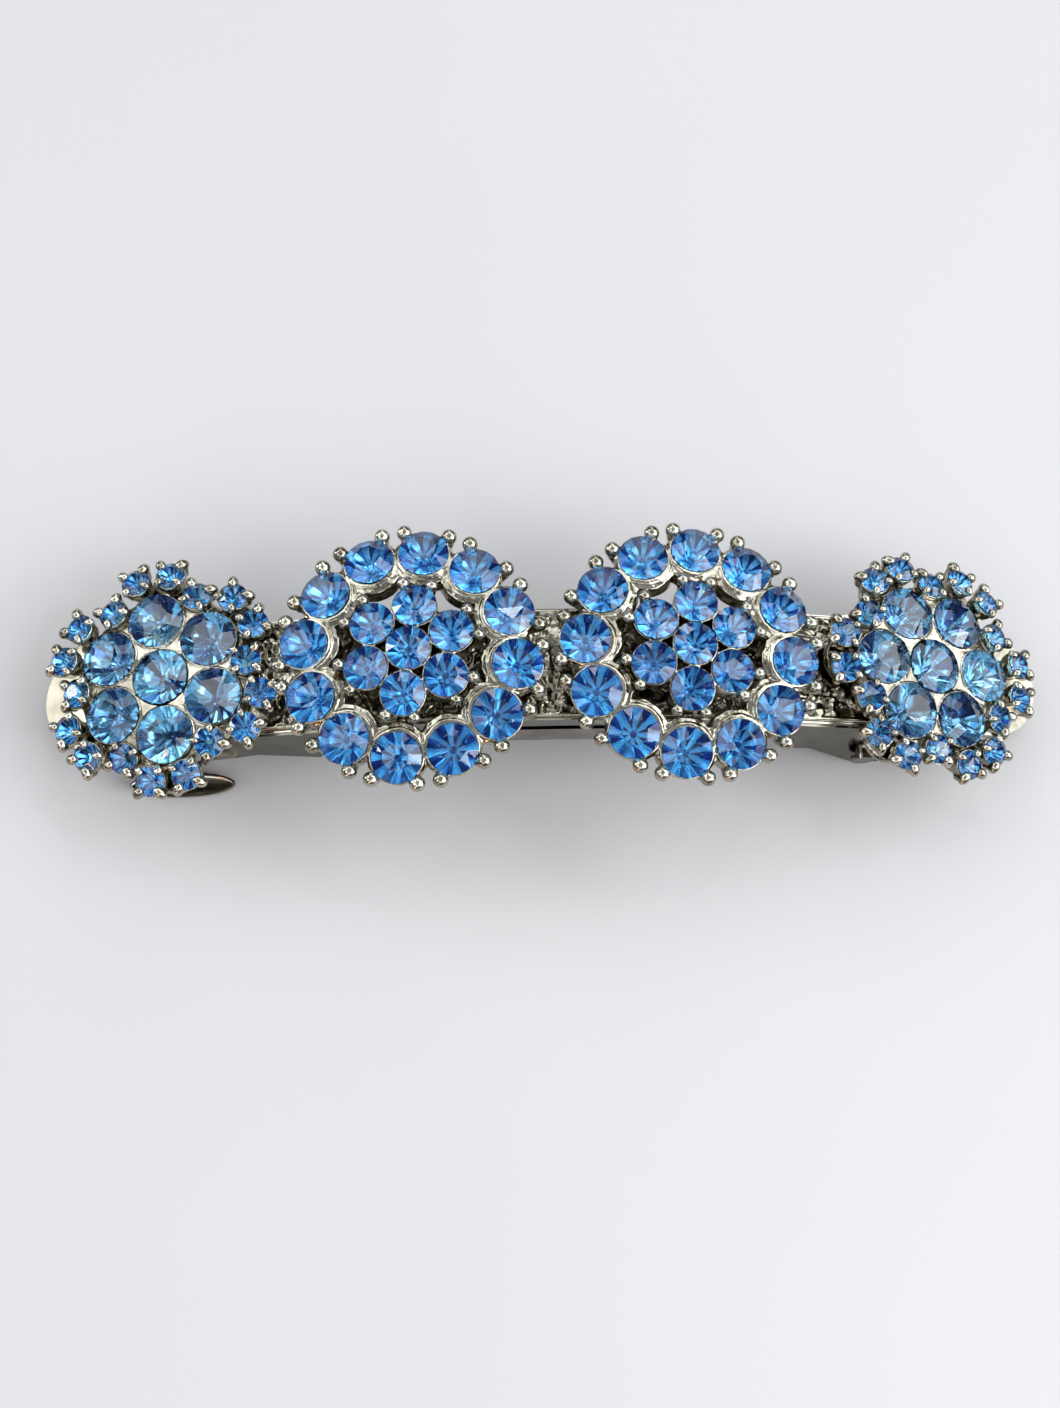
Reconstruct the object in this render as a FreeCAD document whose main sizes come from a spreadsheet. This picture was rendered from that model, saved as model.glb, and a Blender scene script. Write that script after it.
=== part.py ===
import FreeCAD, Part
import math
import os
import Sketcher

# Arched French clip with four stone-set motifs. Millimetres and degrees.
# +X runs along the clip from the catch to the hinge, +Y to the back, +Z up.
# The origin is on the table, under the middle of the clip.

Vector = FreeCAD.Vector
Rotation = FreeCAD.Rotation
Placement = FreeCAD.Placement
X_AXIS = Vector(1, 0, 0)
Y_AXIS = Vector(0, 1, 0)
Z_AXIS = Vector(0, 0, 1)

DIMENSIONS = {
    # arched top plate
    "plate_apex_z": 10.0,
    "plate_arc_radius": 105.5,
    "plate_left_reach": 40.8,
    "plate_right_reach": 41.4,
    "plate_half_width": 4.6,
    "plate_thickness": 0.8,
    "plate_half_angle": 24.0,
    "rim_thickness": 0.6,
    "rim_depth": 1.6,
    "rim_half_length": 34.0,
    # flared ears that carry the hinge pin, seen from the side
    "ear_slope": 0.18,
    "ear_reach": 9.0,
    "ear_middle_x": 23.0,
    "ear_inner_x": 17.0,
    "ear_inner_z": 8.2,
    "ear_waist_x": 19.3,
    "ear_waist_z": 3.7,
    "ear_shoulder_x": 21.4,
    "ear_shoulder_z": 3.3,
    "ear_foot_x": 25.9,
    "ear_toe_x": 28.3,
    "ear_outer_x": 29.6,
    "ear_outer_z": 5.35,
    "below_table": -1.0,
    # deeper flange next to the catch, seen from the side
    "skirt_middle_x": -22.8,
    "skirt_inner_x": -16.8,
    "skirt_inner_z": 8.25,
    "skirt_waist_x": -18.4,
    "skirt_waist_z": 3.5,
    "skirt_belly_x": -23.4,
    "skirt_belly_z": 3.7,
    "skirt_toe_x": -28.1,
    "skirt_toe_z": 2.1,
    "skirt_outer_x": -28.8,
    "skirt_outer_z": 5.7,
    # hinge pin
    "pin_x": 26.0,
    "pin_z": 2.3,
    "pin_radius": 0.55,
    "pin_clearance": 0.06,
    "pin_half_length": 5.85,
    "pin_head_radius": 0.95,
    "pin_head_thickness": 0.4,
    # clasp arm, a channel open towards the plate
    "arm_apex_z": 3.4,
    "arm_arc_radius": 180.0,
    "arm_half_width": 4.3,
    "arm_wall": 0.5,
    "arm_floor": 0.6,
    "arm_depth": 3.0,
    "arm_half_angle": 10.3,
    "arm_heel_x": 27.6,
    "arm_wall_end_x": -27.0,
    "arm_wall_end_z": 1.96,
    "arm_window_start_x": -28.4,
    "arm_window_end_x": -31.2,
    "arm_window_half_width": 3.1,
    "arm_tip_x": -32.0,
    "arm_tip_corner": 1.2,
    # bowed tension bar inside the channel
    "bar_apex_z": 8.35,
    "bar_arc_radius": 54.0,
    "bar_thickness": 0.3,
    "bar_half_width": 2.6,
    "bar_half_angle": 26.0,
    "bar_rivet_x": 22.9,
    "bar_rivet_radius": 0.5,
    "bar_rivet_head_radius": 0.95,
    "bar_rivet_head_thickness": 0.3,
    "rivet_clearance": 0.1,
    # catch, riveted under the plate
    "base_thickness": 0.4,
    "base_half_width": 3.3,
    "base_inner_x": -28.9,
    "base_outer_x": -36.4,
    "base_half_angle": 20.8,
    "catch_rivet_inner_x": -30.4,
    "catch_rivet_outer_x": -34.4,
    "catch_rivet_radius": 0.6,
    "catch_rivet_head_radius": 1.1,
    "catch_rivet_head_face": 0.77,
    "catch_rivet_head_thickness": 0.3,
    "catch_rivet_gap": 0.02,
    "wing_wall": 0.45,
    "wing_wall_y": 2.75,
    "wing_bend_gap": 0.1,
    "wing_inner_x": -28.9,
    "wing_outer_x": -35.4,
    "wing_step_x": -32.5,
    "wing_step_z": 1.5,
    "wing_foot_z": 0.0,
    "barb_start_x": -29.2,
    "barb_end_x": -30.9,
    "barb_proud": 0.25,
    "barb_low_z": 0.1,
    "barb_high_z": 0.5,
    "tab_low_z": 0.85,
    "tab_thickness": 0.45,
    "tab_line_y": 6.95,
    "tab_middle_x": -29.7,
    "tab_half_length": 4.25,
    "tab_half_width": 1.05,
    "tab_rim": 0.2,
    "tab_dish": 0.25,
    "link_outer_x": -33.5,
    # cast backing strip on the plate
    "strip_thickness": 0.5,
    "strip_half_width": 4.4,
    "strip_half_angle": 17.6,
    # motif places along the arc, turns about their own normals and small tilts
    "left_dome_arc": -30.6,
    "left_dome_turn": 36.1,
    "left_dome_pitch": 2.6,
    "left_wreath_arc": -10.85,
    "left_wreath_turn": 22.0,
    "left_wreath_pitch": 0.4,
    "right_wreath_arc": 10.35,
    "right_wreath_turn": 24.2,
    "right_wreath_pitch": -1.4,
    "right_dome_arc": 30.85,
    "right_dome_turn": 55.9,
    "right_dome_pitch": 2.3,
    # stones
    "stone_crown": 0.17,
    "stone_table": 0.56,
    "stone_girdle": 0.05,
    "stone_pavilion": 0.42,
    "stone_gap": 0.03,
    # wreath
    "wreath_rim_radius": 8.3,
    "wreath_rim_height": 3.0,
    "wreath_rim_tilt": 12.0,
    "wreath_rim_stone": 3.95,
    "wreath_petal_radius": 3.55,
    "wreath_petal_height": 4.15,
    "wreath_petal_tilt": 8.0,
    "wreath_petal_stone": 3.4,
    "wreath_centre_height": 4.5,
    "wreath_ring_radius": 7.7,
    "wreath_ring_section": 0.75,
    "wreath_ring_height": 1.3,
    "wreath_strut_radius": 0.5,
    "wreath_strut_start": 4.45,
    "wreath_strut_height": 2.9,
    "wreath_prong_angle": 45.0,
    "wreath_prong_reach": 2.5,
    "wreath_prong_ball": 0.54,
    "wreath_prong_rise": -0.3,
    "petal_prong_angle": 32.0,
    "petal_prong_reach": 2.05,
    "petal_prong_ball": 0.42,
    "petal_prong_rise": 0.0,
    # dome
    "dome_petal_radius": 4.77,
    "dome_petal_height": 2.1,
    "dome_petal_tilt": 6.0,
    "dome_petal_stone": 4.5,
    "dome_centre_height": 2.15,
    "dome_rim_radius": 8.45,
    "dome_rim_spread": 10.0,
    "dome_rim_height": 2.15,
    "dome_rim_tilt": 16.0,
    "dome_valley_radius": 7.05,
    "dome_valley_height": 2.2,
    "dome_small_stone": 2.35,
    "dome_sheet_radius": 7.1,
    "dome_sheet_lobe": 2.0,
    "dome_sheet_low": 0.25,
    "dome_sheet_high": 1.0,
    "small_prong_rise": 0.15,
    "big_claw_rise": 0.0,
    "small_prong_reach": 1.15,
    "small_prong_ball": 0.24,
    "big_claw_reach": 1.4,
    "big_claw_ball": 0.34,
    # cast cups and feet
    "foot_radius": 3.3,
    "foot_neck": 2.6,
    "cup_wall": 0.32,
    "cup_depth": 2.3,
    "cup_taper": 0.72,
    "cup_lip": 0.12,
    "small_cup_depth": 1.5,
    "small_claw_depth": 0.6,
    "prong_lean": 0.8,
    "prong_base": 0.85,
    "prong_neck": 0.6,
}

DOC = FreeCAD.newDocument("rhinestone_hair_clip")
SHEET = DOC.addObject("Spreadsheet::Sheet", "dims")
for row, (alias, value) in enumerate(DIMENSIONS.items(), start=1):
    SHEET.set(f"A{row}", alias)
    SHEET.set(f"B{row}", str(value))
    SHEET.setAlias(f"B{row}", alias)
DOC.recompute()

SUBPARTS = []


def dim(alias):
    """The value of one driving dimension, read from the sheet."""
    return float(SHEET.get(alias))


def subpart(feature, label):
    """Names a finished sub-part; its label is also its file's name."""
    feature.Label = label
    SUBPARTS.append(feature)
    return feature


# ------------------------------------------------------------------ document building blocks


def value_of(expression):
    return float(SHEET.evalExpression(expression))


def origin_plane(body, role):
    return next(f for f in body.Origin.OriginFeatures if f.Role == role)


def draw_polygon(sketch, vertices):
    """Closed outline whose vertices are a pair of sheet expressions each."""
    points = [Vector(value_of(across), value_of(up), 0) for across, up in vertices]
    count = len(points)
    first = sketch.GeometryCount
    for i in range(count):
        sketch.addGeometry(Part.LineSegment(points[i], points[(i + 1) % count]))
    for i in range(count):
        after = first + (i + 1) % count
        sketch.addConstraint(Sketcher.Constraint("Coincident", first + i, 2, after, 1))
    for i, (across, up) in enumerate(vertices):
        for kind, expression in (("DistanceX", across), ("DistanceY", up)):
            datum = Sketcher.Constraint(kind, -1, 1, first + i, 1, value_of(expression))
            index = sketch.addConstraint(datum)
            sketch.setExpression(f"Constraints[{index}]", expression)


def rectangle(low_across, high_across, low_up, high_up):
    return [
        (low_across, low_up),
        (high_across, low_up),
        (high_across, high_up),
        (low_across, high_up),
    ]


def body_sketch(body, name, role, vertices, lift=None):
    """Sketch on one of the body's own origin planes, lifted along its normal if asked."""
    sketch = body.newObject("Sketcher::SketchObject", name)
    sketch.AttachmentSupport = (origin_plane(body, role), [""])
    sketch.MapMode = "FlatFace"
    if lift is not None:
        sketch.setExpression(".AttachmentOffset.Base.z", lift)
    draw_polygon(sketch, vertices)
    return sketch


def pad(body, sketch, length):
    """Pad along the sketch's normal; it has to add material."""
    DOC.recompute()
    before = body.Shape.Volume if body.Tip else 0
    feature = body.newObject("PartDesign::Pad", f"{sketch.Name}_pad")
    feature.Profile = sketch
    feature.setExpression("Length", length)
    DOC.recompute()
    if body.Shape.Volume <= before:
        raise RuntimeError(f"{feature.Name} adds nothing")


def cut_through(body, sketch):
    """Pocket through everything, both ways from the sketch; it has to take material away."""
    DOC.recompute()
    before = body.Shape.Volume
    feature = body.newObject("PartDesign::Pocket", f"{sketch.Name}_pocket")
    feature.Profile = sketch
    feature.Type = "ThroughAll"
    feature.Midplane = True
    DOC.recompute()
    if body.Shape.Volume >= before:
        raise RuntimeError(f"{feature.Name} cuts nothing")


def swept_channel(name, section, apex, radius, half_angle):
    """Body made by turning a cross-section about the arc's own axis, half each way."""
    body = DOC.addObject("PartDesign::Body", name)
    sketch = body_sketch(body, f"{name}_section", "YZ_Plane", section)
    centre = f"{apex} - {radius}"
    level = value_of(centre)
    axis = sketch.addGeometry(Part.LineSegment(Vector(-1, level, 0), Vector(1, level, 0)), True)
    sketch.addConstraint(Sketcher.Constraint("Horizontal", axis))
    for kind, point, expression in (
        ("DistanceY", 1, centre),
        ("DistanceX", 1, "-1"),
        ("DistanceX", 2, "1"),
    ):
        datum = Sketcher.Constraint(kind, -1, 1, axis, point, value_of(expression))
        index = sketch.addConstraint(datum)
        sketch.setExpression(f"Constraints[{index}]", expression)
    turn = body.newObject("PartDesign::Revolution", f"{name}_arc")
    turn.Profile = sketch
    turn.ReferenceAxis = (sketch, ["Axis0"])
    turn.Midplane = True
    turn.setExpression("Angle", f"2 * {half_angle}")
    DOC.recompute()
    return body


def band_section(half_width, top, thickness):
    return rectangle(f"-{half_width}", half_width, f"{top} - {thickness}", top)


def part_box(name, low_x, length, low_y, width, low_z, height):
    box = DOC.addObject("Part::Box", name)
    for prop, expression in (
        ("Length", length),
        ("Width", width),
        ("Height", height),
        (".Placement.Base.x", low_x),
        (".Placement.Base.y", low_y),
        (".Placement.Base.z", low_z),
    ):
        box.setExpression(prop, expression)
    return box


def cylinder_along(name, rotation, radius, height, base):
    cylinder = DOC.addObject("Part::Cylinder", name)
    cylinder.Placement = Placement(Vector(), rotation)
    cylinder.setExpression("Radius", radius)
    cylinder.setExpression("Height", height)
    for axis, expression in zip("xyz", base):
        cylinder.setExpression(f".Placement.Base.{axis}", expression)
    return cylinder


ALONG_Y = Rotation(X_AXIS, -90)
ALONG_Z = Rotation()


def fuse(name, shapes):
    feature = DOC.addObject("Part::MultiFuse", name)
    feature.Shapes = shapes
    return feature


def common(name, shapes):
    feature = DOC.addObject("Part::MultiCommon", name)
    feature.Shapes = shapes
    return feature


def cut(name, base, tool):
    feature = DOC.addObject("Part::Cut", name)
    feature.Base = base
    feature.Tool = tool
    return feature


def side_slab(name, outline):
    """Solid with the given outline in the XZ plane, wide enough to cover the clip."""
    sketch = DOC.addObject("Sketcher::SketchObject", f"{name}_outline")
    sketch.Placement = Placement(Vector(), Rotation(X_AXIS, 90))
    draw_polygon(sketch, outline)
    slab = DOC.addObject("Part::Extrusion", name)
    slab.Base = sketch
    slab.DirMode = "Normal"
    slab.Solid = True
    slab.Symmetric = True
    slab.setExpression("LengthFwd", "4 * dims.plate_half_width")
    return slab


# ------------------------------------------------------------------ places on the arch


def on_arc(arc_length, pitch=0.0, turn=0.0):
    """Frame on the backing strip's top face: origin on the face, Z along its normal."""
    lift = dim("strip_thickness")
    radius = dim("plate_arc_radius") + lift
    angle = arc_length / radius
    centre_z = dim("plate_apex_z") - dim("plate_arc_radius")
    origin = Vector(radius * math.sin(angle), 0, centre_z + radius * math.cos(angle))
    lean = Rotation(Y_AXIS, math.degrees(angle) + pitch)
    return Placement(origin, lean.multiply(Rotation(Z_AXIS, turn)))


def plate_frame(x):
    """Frame on the plate's top face above the given x."""
    radius = dim("plate_arc_radius")
    angle = math.asin(x / radius)
    centre_z = dim("plate_apex_z") - radius
    origin = Vector(x, 0, centre_z + radius * math.cos(angle))
    return Placement(origin, Rotation(Y_AXIS, math.degrees(angle)))


# ------------------------------------------------------------------ clip body


def flared_walls(name, middle_x):
    """Pair of side walls that lean outwards from the plate's edges."""
    shells = []
    for part, inset in (("outer", "0"), ("inner", "dims.rim_thickness")):
        wedge = DOC.addObject("Part::Wedge", f"{name}_{part}")
        top = f"(dims.plate_half_width - {inset})"
        low = f"({top} + dims.ear_slope * dims.ear_reach)"
        for prop, expression in (
            ("Xmin", "-dims.ear_reach"),
            ("Xmax", "dims.ear_reach"),
            ("X2min", "-dims.ear_reach"),
            ("X2max", "dims.ear_reach"),
            ("Ymin", "0"),
            ("Ymax", "dims.ear_reach"),
            ("Zmin", f"-{top}"),
            ("Zmax", top),
            ("Z2min", f"-{low}"),
            ("Z2max", low),
        ):
            wedge.setExpression(prop, expression)
        wedge.Placement = plate_frame(dim(middle_x)).multiply(Placement(Vector(), Rotation(X_AXIS, -90)))
        shells.append(wedge)
    return cut(f"{name}_walls", shells[0], shells[1])


def make_top_plate():
    """Arched plate with rounded ends, rolled rims, hinge ears and a catch-side skirt."""
    top = "dims.plate_apex_z"
    edge = "dims.plate_half_width"
    inner = "(dims.plate_half_width - dims.rim_thickness)"
    under = "(dims.plate_apex_z - dims.plate_thickness)"
    rim_low = "(dims.plate_apex_z - dims.rim_depth)"
    section = [
        (f"-{edge}", rim_low),
        (f"-{inner}", rim_low),
        (f"-{inner}", under),
        (inner, under),
        (inner, rim_low),
        (edge, rim_low),
        (edge, top),
        (f"-{edge}", top),
    ]
    arch = swept_channel("plate_arch", section, top, "dims.plate_arc_radius", "dims.plate_half_angle")
    full = "2 * dims.plate_half_width"
    left_straight = "(dims.plate_left_reach - dims.plate_half_width)"
    right_straight = "(dims.plate_right_reach - dims.plate_half_width)"
    tall = "2 * dims.plate_apex_z"
    deep = "-dims.plate_apex_z"
    length = f"{left_straight} + {right_straight}"
    plan_middle = part_box("plan_middle", f"-{left_straight}", length, f"-{edge}", full, deep, tall)
    plan_ends = [
        cylinder_along(f"plan_{side}_end", ALONG_Z, edge, tall, (x, "0", deep))
        for side, x in (("left", f"-{left_straight}"), ("right", right_straight))
    ]
    plan = fuse("plan_outline", [plan_middle] + plan_ends)
    rounded = common("plate_rounded", [arch, plan])

    # the rolled rims stop short of the rounded ends
    end_trims = []
    for side, low_x in (("left", "-dims.plate_left_reach"), ("right", "dims.rim_half_length")):
        end_trims.append(
            part_box(
                f"{side}_rim_end",
                low_x,
                f"dims.plate_{side}_reach - dims.rim_half_length",
                f"-{edge}",
                full,
                "0",
                "dims.plate_apex_z",
            )
        )
    under_face = cylinder_along(
        "plate_under_face",
        ALONG_Y,
        "dims.plate_arc_radius - dims.plate_thickness",
        full,
        ("0", f"-{edge}", "dims.plate_apex_z - dims.plate_arc_radius"),
    )
    rim_ends = common("rim_ends", [fuse("rim_end_boxes", end_trims), under_face])
    plate = cut("plate_trimmed", rounded, rim_ends)

    ear_slab = side_slab(
        "ear_slab",
        [
            ("dims.ear_inner_x", "dims.ear_inner_z"),
            ("dims.ear_waist_x", "dims.ear_waist_z"),
            ("dims.ear_shoulder_x", "dims.ear_shoulder_z"),
            ("dims.ear_foot_x", "0"),
            ("dims.ear_foot_x", "dims.below_table"),
            ("dims.ear_toe_x", "dims.below_table"),
            ("dims.ear_toe_x", "0"),
            ("dims.ear_outer_x", "dims.ear_outer_z"),
        ],
    )
    ears = common("hinge_ears", [flared_walls("ear", "ear_middle_x"), ear_slab])
    skirt_slab = side_slab(
        "skirt_slab",
        [
            ("dims.skirt_inner_x", "dims.skirt_inner_z"),
            ("dims.skirt_waist_x", "dims.skirt_waist_z"),
            ("dims.skirt_belly_x", "dims.skirt_belly_z"),
            ("dims.skirt_toe_x", "dims.skirt_toe_z"),
            ("dims.skirt_outer_x", "dims.skirt_outer_z"),
        ],
    )
    skirts = common("catch_skirts", [flared_walls("skirt", "skirt_middle_x"), skirt_slab])
    shell = fuse("plate_shell", [plate, ears, skirts])

    table = part_box(
        "below_table_block",
        "0",
        "dims.plate_right_reach",
        "-4 * dims.plate_half_width",
        "8 * dims.plate_half_width",
        "4 * dims.below_table",
        "-4 * dims.below_table",
    )
    pin_hole = cylinder_along(
        "ear_pin_hole",
        ALONG_Y,
        "dims.pin_radius",
        "4 * dims.plate_half_width",
        ("dims.pin_x", "-2 * dims.plate_half_width", "dims.pin_z"),
    )
    cuts = fuse("plate_cuts", [table, pin_hole] + rivet_shanks("plate_rivet_hole"))
    subpart(cut("plate_standing", shell, cuts), "top_plate")


def rivet_shanks(name):
    """Shanks of the two catch rivets, square to the plate and just short of its top face."""
    shanks = []
    for place in ("inner", "outer"):
        shank = DOC.addObject("Part::Cylinder", f"{name}_{place}")
        shank.setExpression("Radius", "dims.catch_rivet_radius")
        shank.setExpression("Height", "dims.plate_thickness + dims.base_thickness")
        depth = dim("plate_thickness") + dim("base_thickness") + dim("catch_rivet_gap")
        frame = plate_frame(dim(f"catch_rivet_{place}_x"))
        shank.Placement = frame.multiply(Placement(Vector(0, 0, -depth), Rotation()))
        shanks.append(shank)
    return shanks


def make_catch_rivets():
    """Two rivets with a flat head under the catch; the upper ends are flush."""
    pieces = rivet_shanks("catch_rivet_shank")
    for place in ("inner", "outer"):
        head = DOC.addObject("Part::Cone", f"catch_rivet_head_{place}")
        head.setExpression("Radius1", "dims.catch_rivet_head_face")
        head.setExpression("Radius2", "dims.catch_rivet_head_radius")
        head.setExpression("Height", "dims.catch_rivet_head_thickness")
        thickness = dim("plate_thickness") + dim("base_thickness")
        depth = thickness + dim("catch_rivet_gap") + dim("catch_rivet_head_thickness")
        frame = plate_frame(dim(f"catch_rivet_{place}_x"))
        head.Placement = frame.multiply(Placement(Vector(0, 0, -depth), Rotation()))
        pieces.append(head)
    subpart(fuse("catch_rivet_pair", pieces), "catch_rivets")


def make_backing_strip():
    """Cast strip between the motifs' feet and the plate."""
    top = "(dims.plate_apex_z + dims.strip_thickness)"
    radius = "(dims.plate_arc_radius + dims.strip_thickness)"
    section = band_section("dims.strip_half_width", top, "dims.strip_thickness")
    subpart(swept_channel("strip", section, top, radius, "dims.strip_half_angle"), "backing_strip")


def make_hinge_pin():
    """Pin through both ears, with a domed head at each end."""
    shaft = cylinder_along(
        "pin_shaft",
        ALONG_Y,
        "dims.pin_radius",
        "2 * dims.pin_half_length",
        ("dims.pin_x", "-dims.pin_half_length", "dims.pin_z"),
    )
    pieces = [shaft]
    for side, start in (
        ("front", "-dims.pin_half_length - dims.pin_head_thickness"),
        ("back", "dims.pin_half_length"),
    ):
        pieces.append(
            cylinder_along(
                f"pin_{side}_head",
                ALONG_Y,
                "dims.pin_head_radius",
                "dims.pin_head_thickness",
                ("dims.pin_x", start, "dims.pin_z"),
            )
        )
    subpart(fuse("pin", pieces), "hinge_pin")


def make_clasp_arm():
    """Curved channel with pin holes at the heel and a windowed tip for the catch."""
    low = "dims.arm_apex_z"
    high = "(dims.arm_apex_z + dims.arm_depth)"
    floor = "(dims.arm_apex_z + dims.arm_floor)"
    edge = "dims.arm_half_width"
    inner = "(dims.arm_half_width - dims.arm_wall)"
    section = [
        (f"-{edge}", low),
        (edge, low),
        (edge, high),
        (inner, high),
        (inner, floor),
        (f"-{inner}", floor),
        (f"-{inner}", high),
        (f"-{edge}", high),
    ]
    body = swept_channel("arm", section, low, "dims.arm_arc_radius", "dims.arm_half_angle")
    wide = "2 * dims.arm_half_width"
    far = "2 * dims.plate_right_reach"
    heel = body_sketch(
        body, "arm_heel_cut", "XY_Plane", rectangle("dims.arm_heel_x", far, f"-{wide}", wide)
    )
    cut_through(body, heel)
    tip = body_sketch(
        body,
        "arm_tip_cut",
        "XY_Plane",
        [
            (f"-{far}", f"-{wide}"),
            ("dims.arm_tip_x + dims.arm_tip_corner", f"-{wide}"),
            ("dims.arm_tip_x + dims.arm_tip_corner", f"-{edge}"),
            ("dims.arm_tip_x", f"-{edge} + dims.arm_tip_corner"),
            ("dims.arm_tip_x", f"{edge} - dims.arm_tip_corner"),
            ("dims.arm_tip_x + dims.arm_tip_corner", edge),
            ("dims.arm_tip_x + dims.arm_tip_corner", wide),
            (f"-{far}", wide),
        ],
    )
    cut_through(body, tip)
    window = body_sketch(
        body,
        "arm_window",
        "XY_Plane",
        rectangle(
            "dims.arm_window_end_x",
            "dims.arm_window_start_x",
            "-dims.arm_window_half_width",
            "dims.arm_window_half_width",
        ),
    )
    cut_through(body, window)
    # the side walls slope down to the floor before the tip
    wall_end = body_sketch(
        body,
        "arm_wall_end",
        "XZ_Plane",
        [
            (f"-{far}", "dims.arm_wall_end_z"),
            ("dims.arm_wall_end_x - dims.arm_depth", "dims.arm_wall_end_z"),
            ("dims.arm_wall_end_x", high),
            (f"-{far}", high),
        ],
    )
    cut_through(body, wall_end)
    tool = cylinder_along(
        "arm_pin_hole",
        ALONG_Y,
        "dims.pin_radius + dims.pin_clearance",
        "4 * dims.arm_half_width",
        ("dims.pin_x", "-2 * dims.arm_half_width", "dims.pin_z"),
    )
    rivet_hole = cylinder_along(
        "arm_rivet_hole",
        ALONG_Z,
        "dims.bar_rivet_radius",
        "2 * dims.arm_apex_z",
        ("dims.bar_rivet_x", "0", "-dims.arm_apex_z"),
    )
    subpart(cut("arm_drilled", body, fuse("arm_holes", [tool, rivet_hole])), "clasp_arm")


def arc_height(x, apex, radius):
    return apex - radius + math.sqrt(radius * radius - x * x)


def make_tension_bar():
    """Thin bowed strip riveted to the arm at the hinge end."""
    section = band_section("dims.bar_half_width", "dims.bar_apex_z", "dims.bar_thickness")
    body = swept_channel("bar", section, "dims.bar_apex_z", "dims.bar_arc_radius", "dims.bar_half_angle")
    hole = cylinder_along(
        "bar_rivet_hole",
        ALONG_Z,
        "dims.bar_rivet_radius + dims.rivet_clearance",
        "2 * dims.bar_apex_z",
        ("dims.bar_rivet_x", "0", "0"),
    )
    subpart(cut("bar_drilled", body, hole), "tension_bar")


def make_bar_rivet():
    """Stepped rivet that keeps the bar's fixed end on the arm's floor."""
    x = dim("bar_rivet_x")
    floor_low = arc_height(x, dim("arm_apex_z"), dim("arm_arc_radius"))
    bar_top = arc_height(x, dim("bar_apex_z"), dim("bar_arc_radius"))
    slope = math.tan(math.asin(x / dim("bar_arc_radius")))
    head_low = bar_top + slope * dim("bar_rivet_head_radius") + 0.5 * dim("rivet_clearance")
    shank = cylinder_along(
        "bar_rivet_shank", ALONG_Z, "dims.bar_rivet_radius", f"{head_low - floor_low}",
        ("dims.bar_rivet_x", "0", f"{floor_low}"),
    )
    head = cylinder_along(
        "bar_rivet_head", ALONG_Z, "dims.bar_rivet_head_radius", "dims.bar_rivet_head_thickness",
        ("dims.bar_rivet_x", "0", f"{head_low}"),
    )
    subpart(fuse("bar_rivet", [shank, head]), "tension_bar_rivet")


def make_catch_base():
    """Spring-steel base of the catch, lying against the plate's under face."""
    top = "(dims.plate_apex_z - dims.plate_thickness)"
    radius = "(dims.plate_arc_radius - dims.plate_thickness)"
    section = band_section("dims.base_half_width", top, "dims.base_thickness")
    arch = swept_channel("base_arch", section, top, radius, "dims.base_half_angle")
    span = part_box(
        "base_span",
        "dims.base_outer_x",
        "dims.base_inner_x - dims.base_outer_x",
        "-dims.base_half_width",
        "2 * dims.base_half_width",
        "0",
        "dims.plate_apex_z",
    )
    blank = common("base_blank", [arch, span])
    holes = fuse("base_holes", rivet_shanks("base_hole"))
    subpart(cut("base_drilled", blank, holes), "catch_base")


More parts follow.
